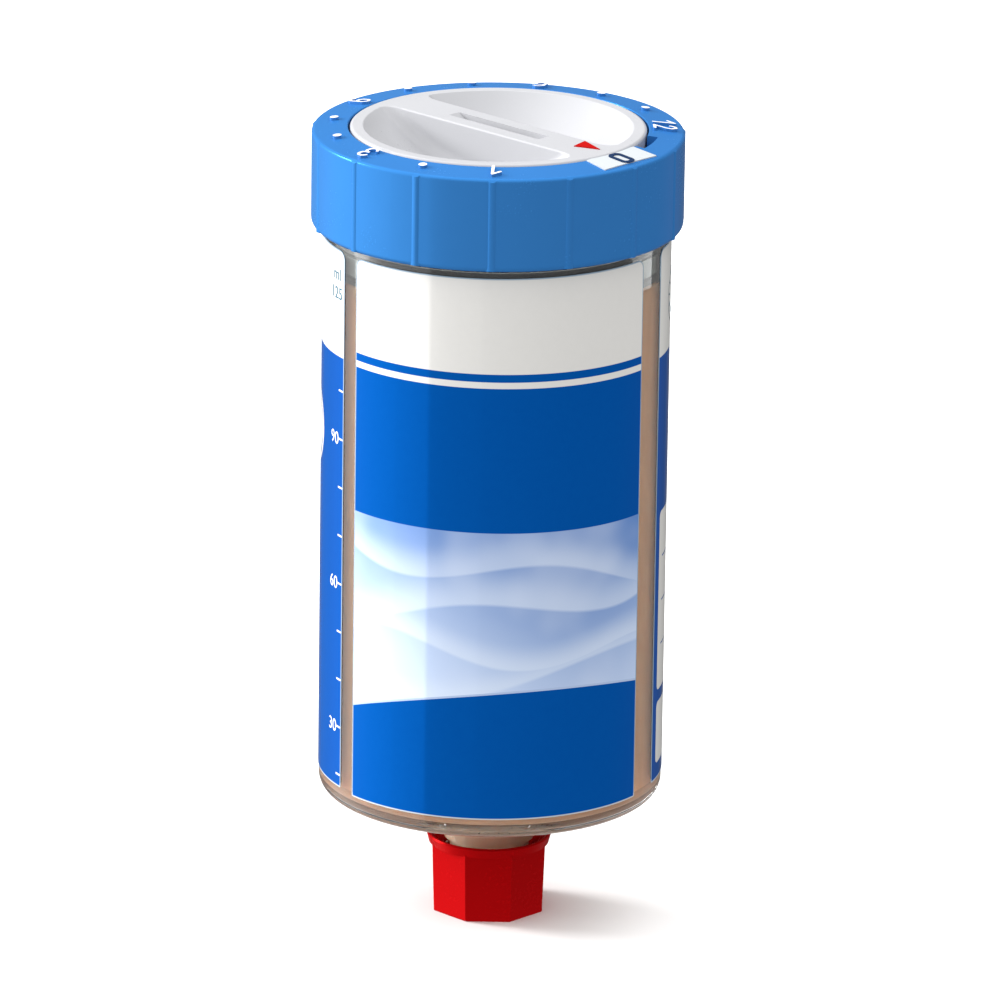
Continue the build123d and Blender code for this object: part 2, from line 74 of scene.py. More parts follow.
# ------------------------------------------------------------------ node helper
class Mat:
    """A material with a Principled shader, and short calls for the nodes round it."""

    def __init__(self, name, **sockets):
        self.mat = bpy.data.materials.new(name)
        self.mat.use_nodes = True
        self.nt = self.mat.node_tree
        self.nt.nodes.clear()
        self.out = self.nt.nodes.new("ShaderNodeOutputMaterial")
        self.bsdf = self.nt.nodes.new("ShaderNodeBsdfPrincipled")
        self.nt.links.new(self.bsdf.outputs[0], self.out.inputs[0])
        for k, v in sockets.items():
            self.bsdf.inputs[k.replace("_", " ")].default_value = v
        self._p = None

    def put(self, socket, v):
        if isinstance(v, bpy.types.NodeSocket):
            self.nt.links.new(v, socket)
        elif v is not None:
            socket.default_value = v

    def math(self, op, a, b=None, c=None, clamp=False):
        n = self.nt.nodes.new("ShaderNodeMath")
        n.operation, n.use_clamp = op, clamp
        self.put(n.inputs[0], a)
        self.put(n.inputs[1], b)
        self.put(n.inputs[2], c)
        return n.outputs[0]

    def p(self):
        """Object coordinates in millimetres."""
        if self._p is None:
            tc = self.nt.nodes.new("ShaderNodeTexCoord")
            n = self.nt.nodes.new("ShaderNodeVectorMath")
            n.operation = "SCALE"
            self.nt.links.new(tc.outputs["Object"], n.inputs[0])
            n.inputs["Scale"].default_value = 1000.0
            self._p = n.outputs[0]
        return self._p

    def xyz(self, v=None):
        n = self.nt.nodes.new("ShaderNodeSeparateXYZ")
        self.nt.links.new(v or self.p(), n.inputs[0])
        return n.outputs[0], n.outputs[1], n.outputs[2]

    def vec(self, x, y, z):
        n = self.nt.nodes.new("ShaderNodeCombineXYZ")
        for i, v in enumerate((x, y, z)):
            self.put(n.inputs[i], v)
        return n.outputs[0]

    def noise(self, scale, detail=3.0, rough=0.55, vec=None, dist=0.0):
        n = self.nt.nodes.new("ShaderNodeTexNoise")
        self.nt.links.new(vec or self.p(), n.inputs["Vector"])
        n.inputs["Scale"].default_value = scale
        n.inputs["Detail"].default_value = detail
        n.inputs["Roughness"].default_value = rough
        n.inputs["Distortion"].default_value = dist
        return n.outputs[0]

    def voronoi(self, scale, feature="F1", vec=None):
        n = self.nt.nodes.new("ShaderNodeTexVoronoi")
        n.feature = feature
        self.nt.links.new(vec or self.p(), n.inputs["Vector"])
        n.inputs["Scale"].default_value = scale
        return n.outputs[0]

    def ramp(self, x, a, b, lo=0.0, hi=1.0, smooth=False):
        """Maps x from a..b to lo..hi, held at the ends."""
        n = self.nt.nodes.new("ShaderNodeMapRange")
        n.interpolation_type = "SMOOTHSTEP" if smooth else "LINEAR"
        self.put(n.inputs[0], x)
        for i, v in enumerate((a, b, lo, hi)):
            self.put(n.inputs[i + 1], v)
        return n.outputs[0]

    def step(self, x, edge, w=0.06):
        """0 below edge, 1 above it, with a blend w wide. edge may be a socket."""
        d = self.math("SUBTRACT", x, edge)
        return self.ramp(d, -w / 2, w / 2)

    def band(self, x, a, b, w=0.06):
        return self.math("MULTIPLY", self.step(x, a, w), self.inv(self.step(x, b, w)))

    def inv(self, x):
        return self.math("SUBTRACT", 1.0, x)

    def mix(self, fac, a, b):
        n = self.nt.nodes.new("ShaderNodeMix")
        n.data_type = "RGBA"
        self.put(n.inputs[0], fac)
        self.put(n.inputs[6], a)
        self.put(n.inputs[7], b)
        return n.outputs[2]

    def bump(self, height, distance_mm, strength=1.0, normal=None):
        n = self.nt.nodes.new("ShaderNodeBump")
        self.put(n.inputs["Height"], height)
        n.inputs["Distance"].default_value = distance_mm * MM
        n.inputs["Strength"].default_value = strength
        if normal is not None:
            self.nt.links.new(normal, n.inputs["Normal"])
        return n.outputs[0]

    def colour(self, v):
        self.put(self.bsdf.inputs["Base Color"], v)

    def rough(self, v):
        self.put(self.bsdf.inputs["Roughness"], v)

    def normal(self, v):
        self.put(self.bsdf.inputs["Normal"], v)

    def sdf_box(self, u, v, u0, u1, v0, v1, r):
        """Signed distance in mm to a rounded rectangle, negative inside."""
        du = self.math("SUBTRACT", self.math("ABSOLUTE", self.math("SUBTRACT", u, (u0 + u1) / 2)),
                       (u1 - u0) / 2 - r)
        dv = self.math("SUBTRACT", self.math("ABSOLUTE", self.math("SUBTRACT", v, (v0 + v1) / 2)),
                       (v1 - v0) / 2 - r)
        out = self.math("SQRT", self.math("ADD", self.math("POWER", self.math("MAXIMUM", du, 0.0), 2.0),
                                          self.math("POWER", self.math("MAXIMUM", dv, 0.0), 2.0)))
        inside = self.math("MINIMUM", self.math("MAXIMUM", du, dv), 0.0)
        return self.math("SUBTRACT", self.math("ADD", out, inside), r)

    def disc(self, u, v, cu, cv):
        """Distance in mm from a point on the unrolled film."""
        a = self.math("POWER", self.math("SUBTRACT", u, cu), 2.0)
        b = self.math("POWER", self.math("SUBTRACT", v, cv), 2.0)
        return self.math("SQRT", self.math("ADD", a, b))


def vary(m, base, amount=0.05, scale=0.25, hue=None):
    """The base colour with a slow mottling, as moulded plastic has."""
    other = hue or tuple(c * (1 - amount) for c in base[:3]) + (1.0,)
    m.colour(m.mix(m.noise(scale, 4, 0.6), base, other))


def moulded(name, base, rough=(0.28, 0.40), grain=3.0, bump=0.004, amount=0.07, metallic=0.0,
            level=0.5, scuff=0.0, **more):
    """Moulded plastic: fine texture from the tool, flow mottling and a little handling wear."""
    m = Mat(name, Metallic=metallic, **more)
    m.bsdf.inputs["Specular IOR Level"].default_value = level
    vary(m, base, amount, 0.18)
    fine, slow = m.noise(grain, 5, 0.65), m.noise(0.12, 3, 0.5)
    r = m.ramp(m.math("ADD", m.math("MULTIPLY", fine, 0.6), m.math("MULTIPLY", slow, 0.4)),
               0.3, 0.7, rough[0], rough[1])
    if scuff:
        lines = m.noise(1.1, 6, 0.75, vec=m.vec(*stretch(m, (0.25, 0.25, 3.0))))
        r = m.math("ADD", r, m.ramp(lines, 0.60, 0.72, 0.0, scuff))
    m.rough(r)
    m.normal(m.bump(fine, bump, 0.7))
    return m


def stretch(m, k):
    x, y, z = m.xyz()
    return [m.math("MULTIPLY", a, b) for a, b in zip((x, y, z), k)]


# ------------------------------------------------------------------ colours
RING_BLUE = (0.0338, 0.182, 0.488, 1)
PRINT_BLUE = (0.0012, 0.088, 0.385, 1)
PRINT_WHITE = (0.80, 0.79, 0.765, 1)
METAL_SHARE, LEVEL = 0.25, 0.02
BLUE_TINT = (0.12, 0.40, 0.85, 1)      # coloured sheen of the dyed plastic and of the print


# ------------------------------------------------------------------ clear plastic
def clear(name, tint=(0.975, 0.985, 0.985, 1), shadow=(0.80, 0.81, 0.81, 1), rough=(0.015, 0.05)):
    m = Mat(name)
    m.bsdf.inputs["Base Color"].default_value = tint
    m.bsdf.inputs["Transmission Weight"].default_value = 1.0
    m.bsdf.inputs["IOR"].default_value = 1.49
    m.rough(m.ramp(m.noise(0.35, 4, 0.6), 0.35, 0.7, rough[0], rough[1]))
    m.normal(m.bump(m.noise(0.22, 2, 0.4), 0.02, 0.25))
    path = m.nt.nodes.new("ShaderNodeLightPath")
    through = m.nt.nodes.new("ShaderNodeBsdfTransparent")
    through.inputs[0].default_value = shadow
    mixer = m.nt.nodes.new("ShaderNodeMixShader")
    m.nt.links.new(path.outputs["Is Shadow Ray"], mixer.inputs[0])
    m.nt.links.new(m.bsdf.outputs[0], mixer.inputs[1])
    m.nt.links.new(through.outputs[0], mixer.inputs[2])
    m.nt.links.new(mixer.outputs[0], m.out.inputs[0])
    return m


# ------------------------------------------------------------------ printed films
def film(name, edges, front):
    m = Mat(name, Metallic=METAL_SHARE)
    m.bsdf.inputs["Specular IOR Level"].default_value = LEVEL
    x, y, z = m.xyz()
    if not front:
        # rear film: measure from +Y so that the unrolled coordinate has no jump
        a = m.math("ARCTAN2", m.math("MULTIPLY", x, -1.0), y)
    else:
        a = m.math("ARCTAN2", x, m.math("MULTIPLY", y, -1.0))
    u = m.math("MULTIPLY", a, LABEL_R)
    # the print sits a hair askew on the film
    v = m.math("ADD", z, m.math("MULTIPLY_ADD", u, 0.0085, 0.10) if front
               else m.math("MULTIPLY_ADD", u, -0.0038, 0.26))
    ink = m.noise(0.9, 4, 0.6)
    blue = m.mix(ink, PRINT_BLUE, (0.0008, 0.080, 0.36, 1))
    white = m.mix(ink, PRINT_WHITE, (0.77, 0.76, 0.735, 1))
    if front:
        col = m.mix(m.step(v, 86.6), blue, white)
        col = m.mix(m.band(v, 87.53, 88.70), col, blue)
        # picture band: a soft sky-blue field with broad ripples, closed by an arc below
        arc = m.math("SUBTRACT", 41.6, m.math("MULTIPLY", m.math("POWER", m.math("SUBTRACT", u, 9.0), 2.0), 0.0056))
        t = m.ramp(v, 35.0, 65.0)
        wave = m.math("MULTIPLY", m.math("SINE", m.math("MULTIPLY", u, 0.105)), 0.16)
        base = m.mix(m.ramp(m.math("ADD", t, wave), 0.0, 1.1, smooth=True),
                     lin(205, 222, 250), lin(104, 142, 204))
        ripples = None
        for c0, slope, amp, k, ph, w, gain in (
                (58.6, -0.10, 2.3, 0.135, 0.4, 5.5, 0.50), (52.0, 0.16, 2.9, 0.110, 2.2, 6.5, 0.55),
                (46.6, -0.05, 2.0, 0.150, 4.1, 4.5, 0.60), (42.2, 0.12, 1.6, 0.125, 5.6, 3.6, 0.50)):
            line = m.math("ADD", m.math("MULTIPLY_ADD", u, slope, c0),
                          m.math("MULTIPLY", m.math("SINE", m.math("MULTIPLY_ADD", u, k, ph)), amp))
            d = m.math("SUBTRACT", v, line)
            one = m.math("MULTIPLY", m.step(d, 0.0, 0.5), m.ramp(d, 0.0, w, gain, 0.0, smooth=True))
            ripples = one if ripples is None else m.math("MAXIMUM", ripples, one)
        art = m.mix(ripples, base, lin(226, 238, 255))
        soft = m.noise(0.055, 2, 0.5)
        art = m.mix(m.ramp(soft, 0.46, 0.68, 0.0, 0.35, smooth=True), art, lin(228, 238, 255))
        inside = m.math("MULTIPLY", m.inv(m.step(v, 65.1)), m.step(v, arc))
        col = m.mix(inside, col, art)
        rim = m.math("MULTIPLY", m.inv(m.step(v, 60.0)), m.band(m.math("SUBTRACT", v, arc), -0.28, 0.0))
        col = m.mix(m.math("MULTIPLY", rim, 0.75), col, lin(206, 224, 250))
    else:
        col = m.mix(m.step(v, 87.0), blue, white)
        # blank panels for notes: one large with ruled lines at the back, two on the right side
        for u0, u1, v0, v1, r, rules in ((-19.0, 13.0, 34.0, 76.0, 1.6, (42.5, 51.0, 59.5, 68.0)),
                                         (-46.8, -31.0, 36.2, 63.4, 0.9, (42.9, 49.6, 56.3)),
                                         (-46.8, -31.0, 25.0, 34.4, 0.9, ())):
            d = m.sdf_box(u, v, u0, u1, v0, v1, r)
            panel = white
            for rule in rules:
                on = m.math("MULTIPLY", m.band(v, rule - 0.12, rule + 0.12),
                            m.band(u, u0 + 1.8, u1 - 1.8))
                panel = m.mix(on, panel, blue)
            col = m.mix(m.inv(m.step(d, 0.0)), col, panel)
        # plain white disc with an inner line, left side
        d = m.disc(u, v, 39.0, 74.2)
        col = m.mix(m.inv(m.step(d, 5.9)), col, white)
        col = m.mix(m.band(d, 4.9, 5.2), col, blue)
        # month wheel outline on the white header, right side
        d = m.disc(u, v, -WHEEL_U, 94.6)
        col = m.mix(m.band(d, 3.95, 4.2), col, lin(20, 80, 105))
        col = m.mix(m.band(d, 1.0, 1.2), col, lin(20, 80, 105))
    # the film's own pale edge, left bare of ink
    e0, e1 = edges
    foot = 21.85 if front else 22.2
    d = m.math("MAXIMUM", m.sdf_box(u, z, e0, e1, foot, 142.7, 0.3),
               m.sdf_box(u, z, e0, e1, -18.0, 102.7, 1.3))
    bare = m.mix(m.step(z, foot + 0.6), (0.55, 0.62, 0.68, 1), (0.32, 0.42, 0.52, 1))
    col = m.mix(m.step(d, -0.18), col, bare)
    m.colour(col)
    # the sheen at glancing angles takes on the colour of the ink
    m.put(m.bsdf.inputs["Specular Tint"], m.mix(0.25, col, (0.8, 0.82, 0.85, 1)))
    fine = m.noise(5.0, 4, 0.6)
    m.rough(m.math("ADD", m.ramp(m.noise(0.3, 4, 0.6), 0.3, 0.7, 0.05, 0.10),
                   m.math("MULTIPLY", fine, 0.04)))
    # film lies over a cylinder with slight waviness and a fine print grain
    wavy = m.noise(0.10, 2, 0.4)
    n1 = m.bump(wavy, 0.03, 0.20)
    m.normal(m.bump(fine, 0.0012, 0.35, n1))
    return m


FRONT_EDGES = (radians(-52.4) * LABEL_R, radians(56.4) * LABEL_R)
# the rear film's unrolled coordinate is positive towards -X
REAR_EDGES = (-radians(180 - 69.0) * LABEL_R, radians(300.6 - 180) * LABEL_R)


# ------------------------------------------------------------------ the materials
M = {}
M["clear_plastic"] = clear("clear_plastic")
M["front_film"] = film("front_film", FRONT_EDGES, True)
M["rear_film"] = film("rear_film", REAR_EDGES, False)

# grease: soft waxy mass with smears and a few pale voids where it lies on the wall
g = Mat("grease", Subsurface_Weight=0.7, Subsurface_Scale=0.012, Subsurface_Radius=(1.0, 0.62, 0.42))
g.bsdf.inputs["Specular IOR Level"].default_value = 0.25
gx, gy, gz = g.xyz()
streak = g.noise(0.35, 5, 0.65, vec=g.vec(gx, gy, g.math("MULTIPLY", gz, 0.22)), dist=0.4)
gc = g.mix(g.ramp(streak, 0.35, 0.68), (0.52, 0.290, 0.165, 1), (0.46, 0.252, 0.142, 1))
gc = g.mix(g.ramp(g.voronoi(0.55), 0.0, 0.16, 0.45, 0.0), gc, (0.55, 0.345, 0.22, 1))
# painted shade: along the floor the grease is darkened
gc = g.mix(g.step(gz, 21.95), g.mix(0.42, gc, (0.12, 0.07, 0.045, 1)), gc)
# painted light: in the outlet the grease is made paler, to lift the shade that the body and cap cast on it
gc = g.mix(g.step(gz, 20.2), g.mix(0.5, gc, (0.95, 0.70, 0.55, 1)), gc)
g.colour(gc)
g.rough(g.ramp(streak, 0.3, 0.7, 0.34, 0.55))
g.normal(g.bump(g.math("ADD", streak, g.math("MULTIPLY", g.noise(1.6, 3), 0.3)), 0.10, 0.5))
M["grease"] = g

M["piston_grey"] = moulded("piston_grey", (0.27, 0.29, 0.27, 1), (0.30, 0.45), amount=0.12)
M["piston_seal_grey"] = moulded("piston_seal_grey", (0.10, 0.105, 0.10, 1), (0.36, 0.5), grain=2.2,
                                bump=0.01, amount=0.2, level=0.4)
M["seal_rubber"] = moulded("seal_rubber", (0.028, 0.03, 0.03, 1), (0.42, 0.6), grain=2.2, bump=0.01,
                           amount=0.25, level=0.4)
M["ring_blue"] = moulded("ring_blue", RING_BLUE, (0.20, 0.29), grain=2.6, bump=0.005, amount=0.06,
                         metallic=METAL_SHARE, level=LEVEL + 0.02, scuff=0.02, Specular_Tint=BLUE_TINT)
M["dial_white"] = moulded("dial_white", (0.430, 0.433, 0.452, 1), (0.26, 0.36), grain=2.4, bump=0.004,
                          amount=0.035, level=0.16, scuff=0.05)
M["flag_white"] = moulded("flag_white", (0.50, 0.53, 0.55, 1), (0.30, 0.42), grain=3.0, bump=0.003,
                          amount=0.03, level=0.12)
M["numeral_blue"] = moulded("numeral_blue", (0.005, 0.026, 0.085, 1), (0.30, 0.42), amount=0.15,
                            level=0.05)
M["pointer_red"] = moulded("pointer_red", (0.40, 0.003, 0.002, 1), (0.28, 0.4), amount=0.12, level=0.01,
                           Specular_Tint=(0.9, 0.2, 0.2, 1))
M["cap_red"] = moulded("cap_red", (0.42, 0.0022, 0.0035, 1), (0.22, 0.30), grain=1.6, bump=0.002,
                       amount=0.06, metallic=METAL_SHARE, level=LEVEL, scuff=0.02,
                       Specular_Tint=(0.9, 0.3, 0.3, 1))
M["cover_grey"] = moulded("cover_grey", (0.20, 0.21, 0.22, 1), (0.32, 0.46), amount=0.10)
M["holder_black"] = moulded("holder_black", (0.022, 0.022, 0.024, 1), (0.34, 0.5), amount=0.2)

# raised marks: painted on top, ring plastic on their sides
s = Mat("scale_white")
s.bsdf.inputs["Specular IOR Level"].default_value = 0.35
geo = s.nt.nodes.new("ShaderNodeNewGeometry")
up = s.xyz(geo.outputs["Normal"])[2]
worn = s.math("ADD", up, s.math("MULTIPLY", s.math("SUBTRACT", s.noise(4.0, 4, 0.7), 0.5), 0.10))
paint = s.mix(s.noise(1.2, 4), (0.80, 0.80, 0.81, 1), (0.72, 0.73, 0.75, 1))
body = s.mix(s.noise(1.2, 3), RING_BLUE, tuple(c * 0.9 for c in RING_BLUE[:3]) + (1,))
s.colour(s.mix(s.ramp(worn, 0.80, 0.86), body, paint))
s.rough(s.ramp(s.noise(3.0, 4), 0.3, 0.7, 0.30, 0.44))
s.normal(s.bump(s.noise(3.0, 4), 0.004, 0.6))
M["scale_white"] = s


def metal(name, base, rough, brushed=True):
    m = Mat(name, Metallic=1.0)
    lines = m.noise(2.0, 5, 0.7, vec=m.vec(*stretch(m, (0.3, 2.5, 1.0)))) if brushed else m.noise(2.0, 5, 0.7)
    m.colour(m.mix(lines, base, tuple(c * 0.82 for c in base[:3]) + (1,)))
    m.rough(m.ramp(lines, 0.3, 0.7, rough[0], rough[1]))
    m.normal(m.bump(lines, 0.004, 0.5))
    return m


M["clip_steel"] = metal("clip_steel", (0.56, 0.57, 0.58, 1), (0.22, 0.38))
M["contact_brass"] = metal("contact_brass", (0.78, 0.58, 0.28, 1), (0.20, 0.34))
M["cell_steel"] = metal("cell_steel", (0.66, 0.66, 0.65, 1), (0.16, 0.30))

# circuit board: solder mask with copper tracks running out to the twelve contacts
b = Mat("board_green")
bx, by, bz = b.xyz()
br = b.math("SQRT", b.math("ADD", b.math("POWER", bx, 2.0), b.math("POWER", by, 2.0)))
ba = b.math("MULTIPLY", b.math("ARCTAN2", bx, b.math("MULTIPLY", by, -1.0)), 180 / pi)
spoke = b.math("ABSOLUTE", b.math("SUBTRACT", b.math("MODULO", b.math("ADD", ba, 720 + 2.4 + 12), 24.0), 12.0))
track = b.math("MULTIPLY", b.inv(b.step(b.math("MULTIPLY", b.math("MULTIPLY", spoke, br), pi / 180), 0.22)),
               b.band(br, 8.0, 18.6))
ringt = b.math("MAXIMUM", b.band(br, 18.5, 19.0), b.band(br, 7.4, 8.1))
pads = b.inv(b.step(b.math("SQRT", b.math("ADD", b.math("POWER", b.math("SUBTRACT", br, 11.6), 2.0),
                                          b.math("POWER", b.math("MULTIPLY", b.math("MULTIPLY", spoke, br), pi / 180), 2.0))), 0.9))
mask = b.mix(b.noise(0.8, 4), (0.008, 0.085, 0.035, 1), (0.006, 0.065, 0.028, 1))
copper = b.mix(b.math("MAXIMUM", track, ringt), mask, (0.03, 0.17, 0.06, 1))
b.colour(b.mix(pads, copper, (0.75, 0.60, 0.30, 1)))
b.put(b.bsdf.inputs["Metallic"], pads)
b.rough(b.ramp(b.noise(2.0, 4), 0.3, 0.7, 0.22, 0.34))
b.normal(b.bump(b.math("MAXIMUM", track, ringt), 0.03, 0.6))
M["board_green"] = b

r_ = Mat("resistor_black")
rx, ry, rz = r_.xyz()
rr = r_.math("SQRT", r_.math("ADD", r_.math("POWER", rx, 2.0), r_.math("POWER", ry, 2.0)))
ends = r_.math("MAXIMUM", r_.inv(r_.step(rr, 15.95)), r_.step(rr, 17.25))
r_.colour(r_.mix(ends, r_.mix(r_.noise(3.0, 3), (0.02, 0.02, 0.02, 1), (0.035, 0.034, 0.033, 1)),
                 (0.62, 0.62, 0.60, 1)))
r_.put(r_.bsdf.inputs["Metallic"], ends)
r_.rough(r_.ramp(r_.noise(4.0, 4), 0.3, 0.7, 0.3, 0.5))
r_.normal(r_.bump(r_.noise(4.0, 4), 0.01, 0.6))
M["resistor_black"] = r_

M["ink_white"] = moulded("ink_white", (0.80, 0.80, 0.79, 1), (0.16, 0.26), grain=5, bump=0.001,
                         amount=0.04, level=0.3)
M["ink_teal"] = moulded("ink_teal", lin(20, 95, 120), (0.16, 0.26), grain=5, bump=0.001, amount=0.1,
                        level=0.3)

USES = {
    "container": "clear_plastic", "front_label": "front_film", "rear_label": "rear_film",
    "grease": "grease", "outlet_grease": "grease", "piston": "piston_grey",
    "piston_seals": "piston_seal_grey", "top_ring": "ring_blue", "scale_marks": "scale_white",
    "zero_flag": "flag_white", "zero_numeral": "numeral_blue", "dial": "dial_white",
    "dial_pointer": "pointer_red", "dial_seal": "seal_rubber", "dial_retainer": "clip_steel",
    "contact_wiper": "contact_brass", "top_cover": "cover_grey", "cover_seal": "seal_rubber",
    "circuit_board": "board_green", "resistors": "resistor_black", "cell_holder": "holder_black",
    "batteries": "cell_steel", "gas_cell": "cell_steel", "contact_springs": "contact_brass",
    "thread_cap": "cap_red",
}


def dress(obj, mat):
    if not obj.material_slots:
        obj.data.materials.append(None)
    for sl in obj.material_slots:
        sl.link = "OBJECT"
        sl.material = mat.mat


for name, key in USES.items():
    dress(nodes[name], M[key])


# ------------------------------------------------------------------ new pieces
def piece(name, verts, faces, mat, body, smooth=True):
    me = bpy.data.meshes.new(name)
    me.from_pydata([Vector(v) for v in verts], [], faces)
    me.validate()
    bm = bmesh.new()
    bm.from_mesh(me)
    bmesh.ops.recalc_face_normals(bm, faces=bm.faces)
    bm.to_mesh(me)
    bm.free()
    for p_ in me.polygons:
        p_.use_smooth = smooth
    ob = bpy.data.objects.new(name, me)
    scene.collection.objects.link(ob)
    me.materials.append(mat.mat)
    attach(ob, body)
    return ob


def lathe(profile, turns=160, wobble=None):
    """Closed solid of revolution from (r, z) points in mm that start and end on the axis."""
    verts, faces, rings = [], [], []
    for i, (r, z) in enumerate(profile):
        if r < 1e-6:
            rings.append([len(verts)])
            verts.append((0, 0, z * MM))
        else:
            row = []
            for k in range(turns):
                a = 2 * pi * k / turns
                dr, dz = wobble(a, r, z) if wobble else (0, 0)
                row.append(len(verts))
                verts.append(((r + dr) * cos(a) * MM, (r + dr) * sin(a) * MM, (z + dz) * MM))
            rings.append(row)
    for lo, hi in zip(rings, rings[1:]):
        for k in range(turns):
            k2 = (k + 1) % turns
            if len(lo) == 1:
                faces.append((lo[0], hi[k], hi[k2]))
            elif len(hi) == 1:
                faces.append((lo[k], lo[k2], hi[0]))
            else:
                faces.append((lo[k], lo[k2], hi[k2], hi[k]))
    return verts, faces


# grease charge: follows the bore and the rounded floor, with slight slumps in its surface
# (it wets the wall and the floor, so it reaches a hundredth of a millimetre into them)
R, Z0, Z1 = 23.21, 20.29, 97.86
prof = [(0, Z0), (6, Z0), (12, Z0), (18, Z0)]
for k in range(9):
    a = radians(-90 + 90 * k / 8)
    prof.append((21.7 + 1.51 * cos(a), 21.8 + 1.51 * sin(a)))
prof += [(R, 21.8 + (96.9 - 21.8) * k / 48) for k in range(1, 49)]
prof += [(R, 97.35), (R, 97.55), (23.1, 97.78), (22.9, Z1), (18, Z1), (12, Z1), (6, Z1), (0, Z1)]


def slump(a, r, z):
    # the top rim is pressed up unevenly against the piston
    if z < 97.0 or r < 22.0:
        return 0, 0
    d = sin(3 * a + 0.6) * sin(5 * a + 1.3) + 0.5 * sin(11 * a)
    return -0.02 * max(0.0, d) * (r < 23.2), -0.07 * max(0.0, d)


v_, f_ = lathe(prof, 180, slump)
grease = piece("grease_fill", v_, f_, M["grease"], "housing")
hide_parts("grease")
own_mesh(grease)
v_, f_ = lathe([(0, 1.95), (3.0, 1.95), (4.1, 2.1), (4.41, 2.4), (4.41, 10.0), (4.41, 17.9), (5.6, 19.1),
                (6.8, 20.3), (3.0, 20.3), (0, 20.3)], 96)
neck = piece("grease_neck", v_, f_, M["grease"], "housing")
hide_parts("outlet_grease")


# outlet thread: a 55 degree ridge of G 1/4 that runs out at both ends
def thread(r0, r1, pitch, za, zb, per=56):
    turns = (zb - za) / pitch
    count = int(turns * per)
    verts, faces = [], []
    for i in range(count + 1):
        a = 2 * pi * i / per
        z = za + pitch * i / per
        fade = min(1.0, i / (per * 0.5), (count - i) / (per * 0.5))
        crest = r0 + (r1 - r0) * fade
        half = pitch * 0.44
        flat = pitch * 0.11
        rows = [(r0 - 0.05, -half), (r0 + 0.02, -half), (crest, -flat), (crest, flat),
                (r0 + 0.02, half), (r0 - 0.05, half)]
        for r, dz in rows:
            verts.append((r * cos(a) * MM, r * sin(a) * MM, (z + dz) * MM))
    n = 6
    for i in range(count):
        for k in range(n):
            k2 = (k + 1) % n
            faces.append((i * n + k, i * n + k2, (i + 1) * n + k2, (i + 1) * n + k))
    faces.append(tuple(range(n)))
    faces.append(tuple(count * n + k for k in reversed(range(n))))
    return verts, faces


v_, f_ = thread(5.75, 6.52, 1.337, 2.95, 9.75)
piece("outlet_thread_ridge", v_, f_, M["clear_plastic"], "housing", smooth=False)


# ------------------------------------------------------------------ scale ink on the film
def wrapped(bearing, u, v, r):
    a = radians(bearing) + u / LABEL_R
    return (r * sin(a) * MM, -r * cos(a) * MM, v * MM)


def ink(name, flat, mat, slot, proud=0.03):
    """flat: list of (bearing, z, [polygons in mm]) laid on the film and given a thickness."""
    verts, faces = [], []
    for bearing, z, polys in flat:
        for poly in polys:
            n, base = len(poly), len(verts)
            for r in (LABEL_R - 0.02, LABEL_R + proud):
                verts += [wrapped(bearing, x, z + y, r) for x, y in poly]
            faces.append(tuple(base + i for i in reversed(range(n))))
            faces.append(tuple(base + n + i for i in range(n)))
            for i in range(n):
                j = (i + 1) % n
                faces.append((base + i, base + j, base + n + j, base + n + i))
    return piece(name, verts, faces, mat, "housing", smooth=False)


def text_polys(text, height, align="RIGHT"):
    """Triangles of a text in the built-in font, in mm, standing on y = 0."""
    cu = bpy.data.curves.new("tmp_text", "FONT")
    cu.body, cu.align_x, cu.size = text, align, height / 0.72
    cu.resolution_u = 6
    ob = bpy.data.objects.new("tmp_text", cu)
    scene.collection.objects.link(ob)
    bpy.context.view_layer.update()
    me = bpy.data.meshes.new_from_object(ob.evaluated_get(bpy.context.evaluated_depsgraph_get()))
    me.calc_loop_triangles()
    polys = [[(me.vertices[i].co.x, me.vertices[i].co.y) for i in t.vertices] for t in me.loop_triangles]
    bpy.data.objects.remove(ob)
    bpy.data.curves.remove(cu)
    bpy.data.meshes.remove(me)
    return polys


def bar(x0, x1, y0, y1):
    n = max(1, int(abs(x1 - x0) / 0.5))
    xs = [x0 + (x1 - x0) * i / n for i in range(n + 1)]
    return [[(a, y0), (b_, y0), (b_, y1), (a, y1)] for a, b_ in zip(xs, xs[1:])]


ticks = [81.95 - 7.24 * k for k in range(9)]
white_ink = []
for z in ticks:
    white_ink.append((-59.8, z, bar(-1.25, 0.0, -0.13, 0.13)))
for z, number in ((ticks[1], "90"), (ticks[4], "60"), (ticks[7], "30")):
    white_ink.append((-62.5, z - 0.95, text_polys(number, 1.9)))
ink("scale_ink_white", white_ink, M["ink_white"], "scale_white")
teal_ink = [(-60.7, 95.4, text_polys("125", 1.8)), (-61.8, 98.2, text_polys("ml", 1.8))]
for k in range(12):
    c, s_ = cos(radians(30 * k)), sin(radians(30 * k))
    polys = []
    for q0, q1 in ((2.7, 3.5),):
        w = 0.11
        polys.append([(q0 * c - w * s_, q0 * s_ + w * c), (q0 * c + w * s_, q0 * s_ - w * c),
                      (q1 * c + w * s_, q1 * s_ - w * c), (q1 * c - w * s_, q1 * s_ + w * c)])
    teal_ink.append((180 - degrees(WHEEL_U / LABEL_R), 94.6, polys))
ink("scale_ink_teal", teal_ink, M["ink_teal"], "numeral_blue")


